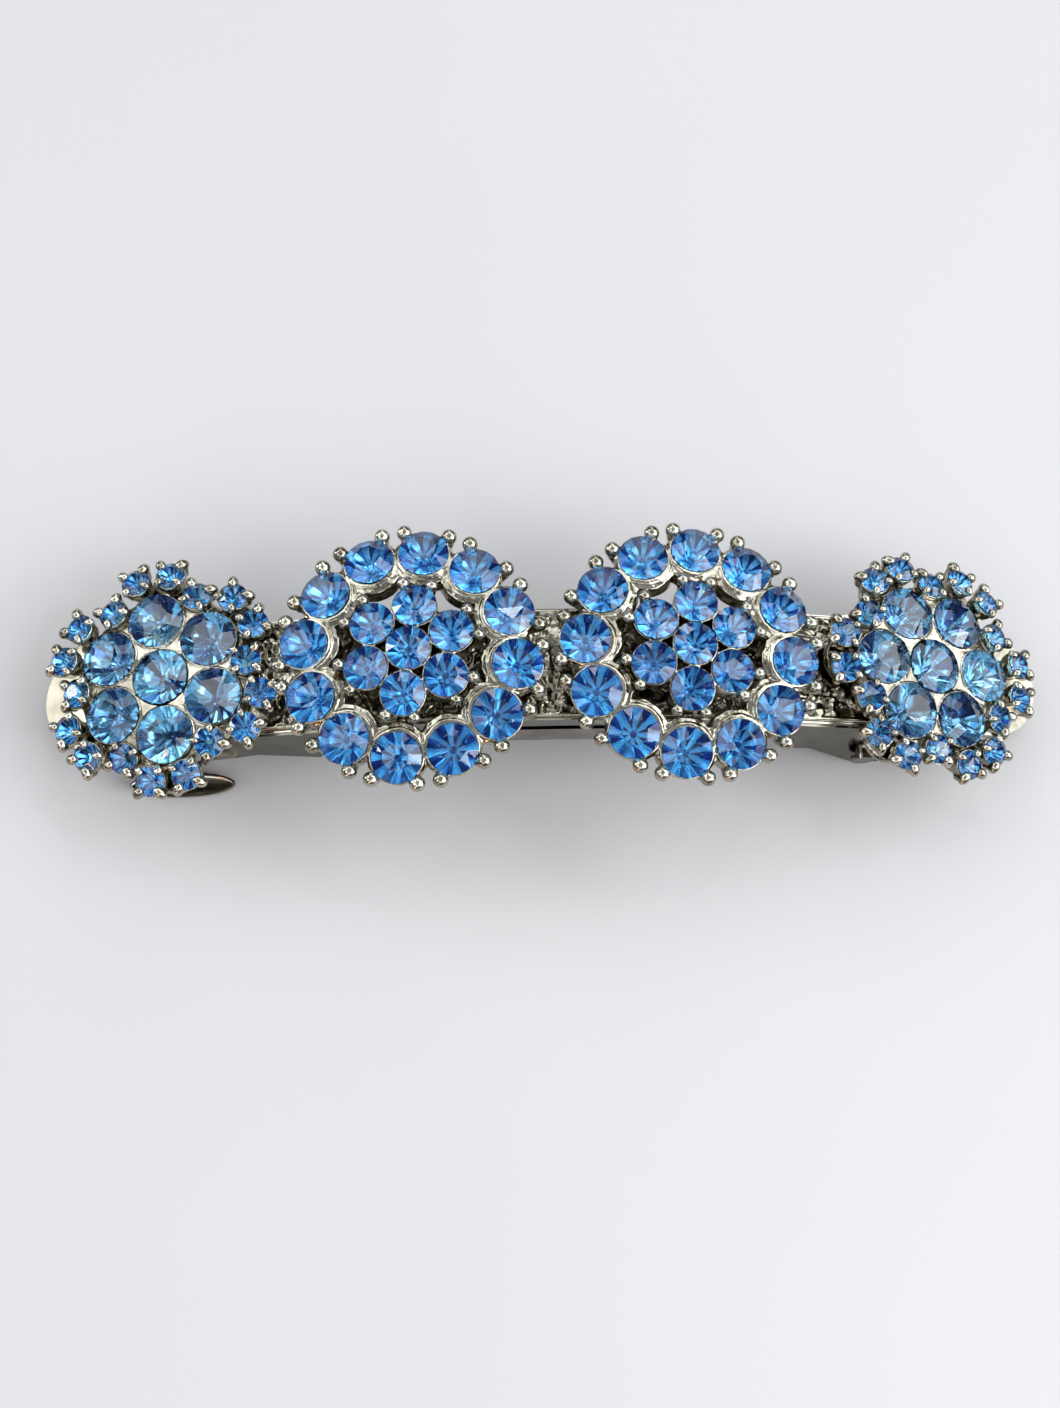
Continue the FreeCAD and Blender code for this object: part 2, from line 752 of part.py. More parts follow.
def make_catch_wings():
    """Squeeze wings: a side wall under the base, a barb, and a dished finger tab."""
    radius = dim("plate_arc_radius") - dim("plate_thickness") - dim("base_thickness")
    under = dim("plate_apex_z") - dim("plate_thickness") - dim("base_thickness")
    gap = dim("wing_bend_gap")
    inner_top = arc_height(dim("wing_inner_x"), under, radius) - gap
    outer_top = arc_height(dim("wing_outer_x"), under, radius) - gap
    body = DOC.addObject("PartDesign::Body", "wing_front")
    wall = body_sketch(
        body,
        "wing_wall_outline",
        "XZ_Plane",
        [
            ("dims.wing_outer_x", f"{outer_top}"),
            ("dims.wing_outer_x", "dims.tab_low_z"),
            ("dims.wing_step_x", "dims.tab_low_z"),
            ("dims.wing_step_x", "dims.wing_step_z"),
            ("dims.barb_end_x", "dims.wing_step_z"),
            ("dims.barb_end_x", "dims.wing_foot_z"),
            ("dims.barb_start_x", "dims.wing_foot_z"),
            ("dims.wing_inner_x", f"{inner_top}"),
        ],
        lift="dims.wing_wall_y - dims.wing_wall",
    )
    pad(body, wall, "dims.wing_wall")
    barb = body_sketch(
        body,
        "wing_barb",
        "XY_Plane",
        rectangle(
            "dims.barb_end_x",
            "dims.barb_start_x",
            "-dims.wing_wall_y - dims.barb_proud",
            "-dims.wing_wall_y + 0.5 * dims.wing_wall",
        ),
        lift="dims.barb_low_z",
    )
    pad(body, barb, "dims.barb_high_z - dims.barb_low_z")
    link = body_sketch(
        body,
        "wing_link",
        "XY_Plane",
        rectangle(
            "dims.link_outer_x",
            "dims.wing_step_x",
            "-dims.tab_line_y",
            "-dims.wing_wall_y + 0.5 * dims.wing_wall",
        ),
        lift="dims.tab_low_z",
    )
    pad(body, link, "dims.tab_thickness")
    DOC.recompute()
    rim = DOC.addObject("Part::Ellipse", "tab_outline")
    rim.setExpression("MajorRadius", "dims.tab_half_length")
    rim.setExpression("MinorRadius", "dims.tab_half_width")
    tab = DOC.addObject("Part::Extrusion", "tab_oval")
    tab.Base = rim
    tab.Dir = Z_AXIS
    tab.Solid = True
    tab.setExpression("LengthFwd", "dims.tab_thickness")
    dish = DOC.addObject("Part::Ellipsoid", "tab_hollow")
    dish.setExpression("Radius1", "dims.tab_dish")
    dish.setExpression("Radius2", "dims.tab_half_length - dims.tab_rim")
    dish.setExpression("Radius3", "dims.tab_half_width - dims.tab_rim")
    top_z = "dims.tab_low_z + dims.tab_thickness"
    for shape, z in ((rim, "dims.tab_low_z"), (dish, top_z)):
        shape.setExpression("Placement.Base.x", "dims.tab_middle_x")
        shape.setExpression("Placement.Base.y", "-dims.tab_line_y")
        shape.setExpression("Placement.Base.z", z)
    front = cut("wing_dished", fuse("wing_solid", [body, tab]), dish)
    subpart(front, "catch_wing_front")
    back = DOC.addObject("Part::Mirroring", "wing_back")
    back.Source = front
    back.Normal = Y_AXIS
    subpart(back, "catch_wing_back")


# ------------------------------------------------------------------ stones and their cast settings


def polar(radius, degrees, height):
    angle = math.radians(degrees)
    return Vector(radius * math.cos(angle), radius * math.sin(angle), height)


def seat(radius, degrees, height, tilt):
    """Frame of a stone seat: origin at the girdle, Z leaning outwards, X pointing outwards."""
    outwards = Rotation(Z_AXIS, degrees).multiply(Rotation(Y_AXIS, tilt))
    return Placement(polar(radius, degrees, height), outwards)


def face_of(points):
    return Part.Face(Part.makePolygon(points + [points[0]]))


def chaton(diameter):
    """Round pointed-back stone: octagonal table, kite crown, sixteen-sided girdle, culet."""
    radius = diameter / 2
    band = diameter * dim("stone_girdle") / 2
    step = 360.0 / 16
    table_radius = radius * dim("stone_table")
    table_height = band + diameter * dim("stone_crown")
    table = [polar(table_radius, 2 * step * i, table_height) for i in range(8)]
    upper = [polar(radius, step * i, band) for i in range(16)]
    lower = [polar(radius, step * i, -band) for i in range(16)]
    culet = Vector(0, 0, -band - diameter * dim("stone_pavilion"))
    faces = [face_of(table)]
    for i in range(8):
        here = table[i]
        after = table[(i + 1) % 8]
        left, middle, right = upper[2 * i - 1], upper[2 * i], upper[2 * i + 1]
        faces.append(face_of([here, left, middle]))
        faces.append(face_of([here, middle, right]))
        faces.append(face_of([here, right, after]))
    for i in range(16):
        after = (i + 1) % 16
        faces.append(face_of([lower[i], lower[after], upper[after], upper[i]]))
        faces.append(face_of([culet, lower[after], lower[i]]))
    solid = Part.makeSolid(Part.makeShell(faces))
    if solid.Volume < 0:
        solid.reverse()
    return solid


def placed(shape, frame):
    copy = shape.copy()
    copy.Placement = frame.multiply(copy.Placement)
    return copy


def cup(diameter, depth):
    """Tapered cup, without its pocket; the girdle plane is z = 0."""
    top = diameter / 2 + dim("cup_wall")
    lip = dim("cup_lip")
    return Part.makeCone(top * dim("cup_taper"), top, depth, Vector(0, 0, lip - depth))


def pocket(diameter):
    """Room for one stone: straight at the girdle, conical under it."""
    gap = dim("stone_gap")
    band = diameter * dim("stone_girdle") / 2
    radius = diameter / 2 + gap
    deep = diameter * dim("stone_pavilion") + 2 * gap
    mouth = Part.makeCylinder(radius, diameter, Vector(0, 0, -band - gap))
    cone = Part.makeCone(gap, radius, deep, Vector(0, 0, -band - gap - deep))
    return mouth.fuse(cone)


def ball_prong(kind, degrees, foot_depth):
    """Post with a ball head beside a cup; its foot leans in against the cup's side."""
    reach = dim(f"{kind}_reach")
    ball = dim(f"{kind}_ball")
    head = polar(reach, degrees, dim(f"{kind}_rise"))
    base = polar(reach * dim("prong_lean"), degrees, -foot_depth)
    along = head.sub(base)
    post = Part.makeCone(ball * dim("prong_base"), ball * dim("prong_neck"), along.Length, base, along)
    return [post, Part.makeSphere(ball, head)]


def bar_between(start, end, radius):
    along = end.sub(start)
    return Part.makeCylinder(radius, along.Length, start, along)


def foot(top):
    """Tapered foot, started below the strip's top face so that it can be fitted to the curve."""
    sink = dim("strip_thickness")
    return Part.makeCone(dim("foot_radius"), dim("foot_neck"), top + sink, Vector(0, 0, -sink))


def casting(pieces, pockets):
    """One cast piece: everything fused, then the stone pockets cut."""
    solid = pieces[0].multiFuse(pieces[1:])
    solid = solid.cut(pockets)
    return solid.removeSplitter()


def wreath_seats():
    rim = [
        seat(dim("wreath_rim_radius"), 30 * i, dim("wreath_rim_height"), dim("wreath_rim_tilt"))
        for i in range(12)
    ]
    petals = [
        seat(dim("wreath_petal_radius"), 60 * i, dim("wreath_petal_height"), dim("wreath_petal_tilt"))
        for i in range(6)
    ]
    centre = [seat(0, 0, dim("wreath_centre_height"), 0)]
    return {"rim": rim, "petal": petals, "centre": centre}


def dome_seats():
    petals = [
        seat(dim("dome_petal_radius"), 60 * i, dim("dome_petal_height"), dim("dome_petal_tilt"))
        for i in range(6)
    ]
    tilt = dim("dome_rim_tilt")
    spread = dim("dome_rim_spread")
    rim = [
        seat(dim("dome_rim_radius"), 60 * i + side * spread, dim("dome_rim_height"), tilt)
        for i in range(6)
        for side in (-1, 1)
    ]
    valley_radius = dim("dome_valley_radius")
    valley_height = dim("dome_valley_height")
    valley = [seat(valley_radius, 60 * i + 30, valley_height, tilt) for i in range(6)]
    centre = [seat(0, 0, dim("dome_centre_height"), 0)]
    return {"petal": petals, "rim": rim, "valley": valley, "centre": centre}


def wreath_setting(seats):
    """Openwork wreath: linked rim cups, an inner flower on a foot, and six struts."""
    ring_radius = dim("wreath_ring_radius")
    ring_height = dim("wreath_ring_height")
    pieces = [
        foot(dim("wreath_petal_height") - dim("cup_depth") + 2 * dim("cup_lip")),
        Part.makeTorus(ring_radius, dim("wreath_ring_section"), Vector(0, 0, ring_height)),
    ]
    pockets = []
    for group, prong in (("rim", "wreath_prong"), ("petal", "petal_prong")):
        stone = dim(f"wreath_{group}_stone")
        for frame in seats[group]:
            pieces.append(placed(cup(stone, dim("cup_depth")), frame))
            pockets.append(placed(pocket(stone), frame))
            for side in (-1, 1):
                angle = side * dim(f"{prong}_angle")
                pieces += [placed(piece, frame) for piece in ball_prong(prong, angle, dim("cup_depth") / 2)]
    centre = seats["centre"][0]
    pieces.append(placed(cup(dim("wreath_petal_stone"), dim("cup_depth")), centre))
    pockets.append(placed(pocket(dim("wreath_petal_stone")), centre))
    for i in range(6):
        inner = polar(dim("wreath_strut_start"), 60 * i, dim("wreath_strut_height"))
        outer = polar(ring_radius, 60 * i, ring_height)
        pieces.append(bar_between(inner, outer, dim("wreath_strut_radius")))
    return casting(pieces, pockets)


def dome_setting(seats):
    """Closed scalloped sheet with bezel cups, and small four-prong cups round its edge."""
    low = dim("dome_sheet_low")
    thick = dim("dome_sheet_high") - low
    pieces = [
        Part.makeCylinder(dim("dome_sheet_radius"), thick, Vector(0, 0, low)),
        foot(low + thick / 2),
    ]
    for i in range(6):
        middle = polar(dim("dome_sheet_radius"), 60 * i, low)
        pieces.append(Part.makeCylinder(dim("dome_sheet_lobe"), thick, middle))
    pockets = []
    big_depth = dim("dome_petal_height") - low + dim("cup_lip")
    for group, stone, depth in (
        ("centre", "dome_petal_stone", big_depth),
        ("petal", "dome_petal_stone", big_depth),
        ("rim", "dome_small_stone", dim("small_cup_depth")),
        ("valley", "dome_small_stone", dim("small_cup_depth")),
    ):
        for frame in seats[group]:
            pieces.append(placed(cup(dim(stone), depth), frame))
            pockets.append(placed(pocket(dim(stone)), frame))
    claw_depth = dim("small_claw_depth")
    for frame in seats["rim"] + seats["valley"]:
        for prong, angles in (("big_claw", (-45, 45)), ("small_prong", (-135, 135))):
            for angle in angles:
                pieces += [placed(piece, frame) for piece in ball_prong(prong, angle, claw_depth)]
    return casting(pieces, pockets)


def shape_feature(label, shape, frame):
    feature = DOC.addObject("Part::Feature", label)
    feature.Shape = shape
    feature.Placement = frame
    subpart(feature, label)


def seated_on_strip(setting, frame):
    """The setting with its underside cut to the strip's curve, in the motif's own frame."""
    strip = Part.makeCylinder(
        dim("plate_arc_radius") + dim("strip_thickness"),
        4 * dim("plate_half_width"),
        Vector(0, -2 * dim("plate_half_width"), dim("plate_apex_z") - dim("plate_arc_radius")),
        Y_AXIS,
    )
    return setting.cut(placed(strip, frame.inverse()))


def make_motifs():
    groups = {
        "wreath": (
            wreath_seats(),
            wreath_setting,
            {"rim": "wreath_rim_stone", "petal": "wreath_petal_stone", "centre": "wreath_petal_stone"},
        ),
        "dome": (
            dome_seats(),
            dome_setting,
            {
                "petal": "dome_petal_stone",
                "rim": "dome_small_stone",
                "valley": "dome_small_stone",
                "centre": "dome_petal_stone",
            },
        ),
    }
    for kind, (seats, make_setting, stone_sizes) in groups.items():
        setting = make_setting(seats)
        stones = {}
        for group, size in stone_sizes.items():
            stone = chaton(dim(size))
            stones[group] = Part.makeCompound([placed(stone, frame) for frame in seats[group]])
        for side in ("left", "right"):
            frame = on_arc(
                dim(f"{side}_{kind}_arc"), dim(f"{side}_{kind}_pitch"), dim(f"{side}_{kind}_turn")
            )
            shape_feature(f"{side}_{kind}_setting", seated_on_strip(setting, frame), frame)
            for group, shape in stones.items():
                plural = "stone" if group == "centre" else "stones"
                shape_feature(f"{side}_{kind}_{group}_{plural}", shape, frame)


# ------------------------------------------------------------------ build, check and write


def check_document():
    DOC.recompute()
    for feature in DOC.Objects:
        if "Invalid" in feature.State or "Error" in feature.State:
            raise RuntimeError(f"{feature.Name} failed: {feature.State}")
    for feature in SUBPARTS:
        if feature.Shape.isNull() or not feature.Shape.isValid():
            raise RuntimeError(f"{feature.Label} has no valid shape")


def main():
    make_top_plate()
    make_catch_rivets()
    make_backing_strip()
    make_hinge_pin()
    make_clasp_arm()
    make_tension_bar()
    make_bar_rivet()
    make_catch_base()
    make_catch_wings()
    make_motifs()
    check_document()
    os.makedirs("parts", exist_ok=True)
    for feature in SUBPARTS:
        shape = feature.Shape
        shape.exportStep(f"parts/{feature.Label}.step")
        print(f"{feature.Label}: {len(shape.Solids)} solids, {shape.Volume:.2f} mm3, {shape.BoundBox}")


main()
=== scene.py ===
"""Looks of the rhinestone hair clip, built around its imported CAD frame."""

import math
import random

import bmesh
import bpy
import numpy as np
from mathutils import Matrix, Vector, kdtree, noise


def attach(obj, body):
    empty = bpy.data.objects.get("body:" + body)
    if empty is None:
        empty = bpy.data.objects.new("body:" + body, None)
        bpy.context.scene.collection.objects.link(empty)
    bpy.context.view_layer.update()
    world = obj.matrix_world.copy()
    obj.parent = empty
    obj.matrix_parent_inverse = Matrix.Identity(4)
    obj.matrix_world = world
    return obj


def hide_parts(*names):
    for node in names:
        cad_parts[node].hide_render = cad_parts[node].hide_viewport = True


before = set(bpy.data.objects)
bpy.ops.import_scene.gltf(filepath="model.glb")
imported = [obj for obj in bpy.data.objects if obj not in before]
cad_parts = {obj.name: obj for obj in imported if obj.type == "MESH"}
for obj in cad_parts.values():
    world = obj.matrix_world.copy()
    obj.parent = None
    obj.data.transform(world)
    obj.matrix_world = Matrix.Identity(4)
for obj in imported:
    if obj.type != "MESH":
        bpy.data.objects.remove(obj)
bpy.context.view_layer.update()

MM = 0.001
CLIP = "clip_body"
SIDES = ("left", "right")

# ------------------------------------------------------------------ camera

CAMERA_PLACE = Vector((-10.4, -42.2, 136.2)) * MM
CAMERA_PITCH, CAMERA_YAW, CAMERA_ROLL = (math.radians(a) for a in (17.14, 3.69, 0.91))
CAMERA_LENS = 43.5
CAMERA_SENSOR = 36.0
CAMERA_NEAR = 0.005


def make_camera():
    data = bpy.data.cameras.new("camera")
    data.sensor_width = CAMERA_SENSOR
    data.lens = CAMERA_LENS
    data.clip_start = CAMERA_NEAR
    camera = bpy.data.objects.new("camera", data)
    turn = (
        Matrix.Rotation(CAMERA_PITCH, 4, "X")
        @ Matrix.Rotation(-CAMERA_YAW, 4, "Y")
        @ Matrix.Rotation(-CAMERA_ROLL, 4, "Z")
    )
    camera.matrix_world = Matrix.Translation(CAMERA_PLACE) @ turn
    bpy.context.collection.objects.link(camera)
    bpy.context.scene.camera = camera


# ------------------------------------------------------------------ light

WHITE = (1.0, 1.0, 1.0)
SKY = (0.96, 0.98, 1.0)
SKY_LEVELS = (4.4, 2.2, 3.2, 2.6, 1.8, 4.8)

# name, azimuth from +X and angle from straight up in degrees, width in metres, radiance,
# colour, distance in metres
SOFTBOXES = (
    ("zenith", 90, 2, 0.34, 0.6, (0.94, 0.97, 1.0), 0.5),
    *((f"sky_{i}", 20 + 60 * i, 45, 0.33, level, SKY, 0.5) for i, level in enumerate(SKY_LEVELS)),
    ("key", 60, 30, 0.06, 12.0, (1.0, 0.985, 0.96), 0.45),
    ("side_left", 160, 60, 0.18, 1.7, (1.0, 0.98, 0.92), 0.55),
    ("glint_left", 164, 78, 0.14, 14.0, WHITE, 0.55),
    ("side_right", 18, 74, 0.16, 2.6, (1.0, 0.98, 0.94), 0.55),
    ("back", 95, 72, 0.14, 5.0, WHITE, 0.55),
    ("glint_right", 342, 62, 0.32, 7.0, WHITE, 0.55),
    ("warm_card", 240, 77, 0.10, 14.0, (1.0, 0.42, 0.16), 0.55),
)
ROOM_COLOUR = (0.88, 0.92, 1.0)
ROOM_LEVEL = 0.12


def softbox(name, azimuth, zenith, width, level, colour, distance):
    """Round softbox that faces the clip."""
    a, z = math.radians(azimuth), math.radians(zenith)
    way = Vector((math.cos(a) * math.sin(z), math.sin(a) * math.sin(z), math.cos(z)))
    data = bpy.data.lights.new(name, "AREA")
    data.shape = "DISK"
    data.size = width
    data.energy = level * math.pi * math.pi * width * width / 4
    data.color = colour
    lamp = bpy.data.objects.new(name, data)
    aim = way.to_track_quat("Z", "Y").to_matrix().to_4x4()
    lamp.matrix_world = Matrix.Translation(way * distance) @ aim
    bpy.context.collection.objects.link(lamp)


def make_lights():
    for settings in SOFTBOXES:
        softbox(*settings)
    world = bpy.data.worlds.new("studio")
    world.use_nodes = True
    back = world.node_tree.nodes["Background"]
    back.inputs["Color"].default_value = (*ROOM_COLOUR, 1.0)
    back.inputs["Strength"].default_value = ROOM_LEVEL
    bpy.context.scene.world = world
    bpy.context.scene.view_settings.view_transform = "Standard"


# ------------------------------------------------------------------ materials

# noise scales, in waves per metre
CLOUD_SCALE = 450.0
SMEAR_SCALE = 900.0
SILVER_SCALE = 1500.0
FOIL_SCALE = 700.0
TINT_SCALE = 300.0
HAZE_SCALE = 900.0
FLOOR_SCALE = 6.0
NOISE_ROUGHNESS = 0.55
MIDDLE_NOISE = (0.3, 0.7)
CLOUD_STOPS = (0.35, 0.65)
TINT_STOPS = (0.35, 0.55)

# pointiness and normal ranges of painted light: shade painted into hollows, highlights painted on
# crests and shade painted on upright faces; RECESS_SHADE is the painted shade's share of the dark
# colour
HOLLOW_POINTINESS = (0.40, 0.50)
CREST_POINTINESS = (0.50, 0.55)
UPRIGHT_NORMAL = (0.25, 0.6)
RECESS_SHADE = 0.35
GRAIN_STRENGTH = 0.6

SILVER_SPREAD = 0.04
WEAK_TINT = 0.93
CRYSTAL_IOR = 1.54
CRYSTAL_SPECULAR = 0.38
CRYSTAL_HAZE = (0.002, 0.006)

FLOOR_HALF = 3.0
FLOOR_ROUGHNESS = 0.55
FLOOR_DARK = (0.41, 0.41, 0.42)
FLOOR_LIGHT = (0.44, 0.44, 0.445)


class Nodes:
    """Short way to build one material's node tree."""

    def __init__(self, name):
        self.material = bpy.data.materials.new(name)
        self.material.use_nodes = True
        self.tree = self.material.node_tree
        self.tree.nodes.clear()
        self.shader = self.add("ShaderNodeBsdfPrincipled")
        output = self.add("ShaderNodeOutputMaterial")
        self.link(self.shader.outputs[0], output.inputs["Surface"])

    def add(self, kind, **settings):
        node = self.tree.nodes.new(kind)
        for key, value in settings.items():
            setattr(node, key, value)
        return node

    def link(self, start, end):
        self.tree.links.new(start, end)

    def feed(self, start, socket):
        """Links an output to one of the shader's sockets."""
        self.link(start, self.shader.inputs[socket])

    def set(self, **values):
        """Sets the shader's own sockets, with _ for each space of a name."""
        for key, value in values.items():
            self.shader.inputs[key.replace("_", " ")].default_value = value

    def noise(self, scale, detail=3.0, distortion=0.0):
        node = self.add("ShaderNodeTexNoise")
        node.inputs["Scale"].default_value = scale
        node.inputs["Detail"].default_value = detail
        node.inputs["Roughness"].default_value = NOISE_ROUGHNESS
        node.inputs["Distortion"].default_value = distortion
        coordinates = self.add("ShaderNodeTexCoord")
        self.link(coordinates.outputs["Object"], node.inputs["Vector"])
        return node.outputs["Fac"]

    def ramp(self, factor, positions, colours):
        """Two-stop colour ramp."""
        node = self.add("ShaderNodeValToRGB")
        for element, position, colour in zip(node.color_ramp.elements, positions, colours):
            element.position = position
            element.color = (*colour, 1.0)
        self.link(factor, node.inputs["Fac"])
        return node.outputs["Color"]

    def span(self, factor, low, high, source=(0.0, 1.0)):
        """Maps the source range to low and high."""
        node = self.add("ShaderNodeMapRange")
        node.inputs["From Min"].default_value = source[0]
        node.inputs["From Max"].default_value = source[1]
        node.inputs["To Min"].default_value = low
        node.inputs["To Max"].default_value = high
        self.link(factor, node.inputs["Value"])
        return node.outputs["Result"]

    def mix(self, factor, a, b, blend="MIX"):
        """Mixes two colours; each argument may be a value or an output."""
        node = self.add("ShaderNodeMix", data_type="RGBA", blend_type=blend)
        for index, value in ((0, factor), (6, a), (7, b)):
            socket = node.inputs[index]
            if isinstance(value, (int, float)):
                socket.default_value = value
            elif isinstance(value, tuple):
                socket.default_value = (*value, 1.0)
            else:
                self.link(value, socket)
        return node.outputs[2]

    def compute(self, operation, a, b):
        node = self.add("ShaderNodeMath", operation=operation)
        self.link(a, node.inputs[0])
        self.link(b, node.inputs[1])
        return node.outputs[0]

    def bump(self, height, strength, distance):
        node = self.add("ShaderNodeBump")
        node.inputs["Strength"].default_value = strength
        node.inputs["Distance"].default_value = distance
        self.link(height, node.inputs["Height"])
        self.feed(node.outputs["Normal"], "Normal")


def metal(name, light, dark, shine, grain_size, grain_depth, recess_shade_amount, flat=1.0, wall=1.0):
    """Plated metal: colour clouds, painted shade in recesses, uneven shine and fine grain.

    flat and wall darken the surface away from its crests and where it stands upright, as painted
    shade beside painted highlights on the crests.
    """
    n = Nodes(name)
    n.set(Metallic=1.0)
    cloud = n.noise(CLOUD_SCALE, detail=4.0)
    base = n.ramp(cloud, CLOUD_STOPS, (dark, light))
    surface = n.add("ShaderNodeNewGeometry").outputs
    # painted shade: hollows, where pointiness is low, are mixed towards a dark shade colour by the
    # given amount
    hollow = n.span(surface["Pointiness"], 1.0, 0.0, HOLLOW_POINTINESS)
    # painted highlight and shade: crests keep the full colour while flat faces drop to the flat
    # share
    crest_highlight = n.span(surface["Pointiness"], flat, 1.0, CREST_POINTINESS)
    normal = n.add("ShaderNodeSeparateXYZ")
    n.link(surface["Normal"], normal.inputs[0])
    # painted shade: faces that stand upright drop to the wall share of the colour
    facing = n.span(normal.outputs["Z"], wall, 1.0, UPRIGHT_NORMAL)
    painted_light_base = n.mix(1.0, base, n.compute("MULTIPLY", crest_highlight, facing), "MULTIPLY")
    painted_recess_shade = n.mix(recess_shade_amount, painted_light_base, tuple(RECESS_SHADE * c for c in dark))
    n.feed(n.mix(hollow, painted_light_base, painted_recess_shade), "Base Color")
    smear = n.noise(SMEAR_SCALE, detail=5.0, distortion=0.6)
    n.feed(n.span(smear, *shine, MIDDLE_NOISE), "Roughness")
    n.bump(n.noise(grain_size, detail=2.0), GRAIN_STRENGTH, grain_depth)
    return n.material


def foil(name, bright, deep, haze):
    """Mirror foil on a stone's back facets; each facet's colour comes from a per-facet value that
    holds painted reflections and painted shade as well as a random spread.
    """
    n = Nodes(name)
    n.set(Metallic=1.0)
    # per-facet value: painted reflections and painted shade on the foil, with a random spread
    painted_facet_light = n.add("ShaderNodeAttribute", attribute_name="painted_facet_light").outputs["Fac"]
    silver = n.noise(SILVER_SCALE, detail=2.0)
    cloud = n.span(silver, -SILVER_SPREAD, SILVER_SPREAD, MIDDLE_NOISE)
    n.feed(n.ramp(n.compute("ADD", painted_facet_light, cloud), (0.0, 1.0), (deep, bright)), "Base Color")
    n.feed(n.span(n.noise(FOIL_SCALE), *haze, MIDDLE_NOISE), "Roughness")
    return n.material


def crystal(name, tint):
    """Clear front facets with a slightly uneven tint and the faint haze of handling."""
    n = Nodes(name)
    n.set(IOR=CRYSTAL_IOR, Specular_IOR_Level=CRYSTAL_SPECULAR, Transmission_Weight=1.0)
    weak = tuple(WEAK_TINT * c for c in tint)
    cloud = n.noise(TINT_SCALE, detail=1.0)
    n.feed(n.ramp(cloud, TINT_STOPS, (weak, tint)), "Base Color")
    n.feed(n.span(n.noise(HAZE_SCALE, detail=1.0), *CRYSTAL_HAZE), "Roughness")
    return n.material


def make_floor():
    n = Nodes("pale_table")
    n.set(Roughness=FLOOR_ROUGHNESS)
    n.feed(n.ramp(n.noise(FLOOR_SCALE), MIDDLE_NOISE, (FLOOR_DARK, FLOOR_LIGHT)), "Base Color")
    mesh = bpy.data.meshes.new("floor")
    half = FLOOR_HALF
    corners = [(-half, -half, 0), (half, -half, 0), (half, half, 0), (-half, half, 0)]
    mesh.from_pydata(corners, [], [(0, 1, 2, 3)])
    mesh.materials.append(n.material)
    floor = bpy.data.objects.new("floor", mesh)
    bpy.context.collection.objects.link(floor)


# ------------------------------------------------------------------ the stones' places

POINT_DECIMALS = 7
NORMAL_DECIMALS = 2
MIDDLE_GAP = 0.05 * MM
WIDEST = 0.99


class Seat:
    """Where one stone sits: girdle centre, axes (x outwards, z out of the table) and radius."""

    def __init__(self, centre, axis, radius):
        self.centre = centre
        self.axis = axis
        self.radius = radius
        self.outwards = None

    def face_from(self, middle):
        away = self.centre - middle
        away -= away.dot(self.axis) * self.axis
        if away.length < MIDDLE_GAP:
            away = self.axis.orthogonal()
        self.outwards = away.normalized()

    def turn(self):
        across = self.axis.cross(self.outwards)
        return Matrix((self.outwards, across, self.axis)).transposed().to_4x4()

    def matrix(self):
        return Matrix.Translation(self.centre) @ self.turn()


def islands(mesh):
    """Vertex positions and triangles of a mesh, split into its separate solids."""
    mesh.calc_loop_triangles()
    points = np.empty(len(mesh.vertices) * 3)
    mesh.vertices.foreach_get("co", points)
    triangles = np.empty(len(mesh.loop_triangles) * 3, dtype=np.int64)
    mesh.loop_triangles.foreach_get("vertices", triangles)
    rounded = np.round(points.reshape(-1, 3), POINT_DECIMALS)
    points, merged = np.unique(rounded, axis=0, return_inverse=True)
    triangles = merged.ravel()[triangles].reshape(-1, 3)
    group = np.arange(len(points))
    while True:
        lowest = group[triangles].min(axis=1)
        before = group.copy()
        for corner in range(3):
            np.minimum.at(group, triangles[:, corner], lowest)
        if (group == before).all():
            break
    for label in np.unique(group[triangles[:, 0]]):
        yield points, triangles[group[triangles[:, 0]] == label]


def table_axis(points, triangles):
    """Normal of a stone's largest flat face, its table."""
    a, b, c = (points[triangles[:, i]] for i in range(3))
    cross = np.cross(b - a, c - a)
    area = np.linalg.norm(cross, axis=1)
    cross, area = cross[area > 0], area[area > 0]
    normals = np.round(cross / area[:, None], NORMAL_DECIMALS)
    _, which = np.unique(normals, axis=0, return_inverse=True)
    totals = np.bincount(which.ravel(), weights=area)
    axis = cross[which.ravel() == totals.argmax()].sum(axis=0)
    return axis / np.linalg.norm(axis)


def seats_of(node):
    """The seats of all stones in a CAD node."""
    found = []
    for points, triangles in islands(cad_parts[node].data):
        axis = table_axis(points, triangles)
        corners = points[np.unique(triangles)]
        heights = corners @ axis
        culet = corners[heights.argmin()]
        spread = corners - culet
        radial = np.linalg.norm(spread - np.outer(spread @ axis, axis), axis=1)
        widest = radial > WIDEST * radial.max()
        level = (heights[widest].max() + heights[widest].min()) / 2
        centre = culet + (level - heights.min()) * axis
        found.append(Seat(Vector(centre), Vector(axis), float(radial.max())))
    return found


def motif_seats(side, kind, groups):
    """All seats of one motif by group, each facing away from the motif's middle."""
    middle = seats_of(f"{side}_{kind}_centre_stone")[0]
    seats = {"centre": [middle]}
    for group in groups:
        seats[group] = seats_of(f"{side}_{kind}_{group}_stones")
    for group in seats.values():
        for seat in group:
            seat.face_from(middle.centre)
    return seats


# ------------------------------------------------------------------ mesh building blocks

ON_AXIS = 1e-9


def in_mm(profile):
    """Profile of (radius, height) in millimetres, turned to metres."""
    return [(radius * MM, height * MM) for radius, height in profile]


def up(height):
    return Vector((0, 0, height))


def around(radius, turn, height=0.0):
    return Vector((radius * math.cos(turn), radius * math.sin(turn), height))


def ring(radius, count, height, start=0.0):
    step = 2 * math.pi / count
    return [around(radius, start + step * i, height) for i in range(count)]


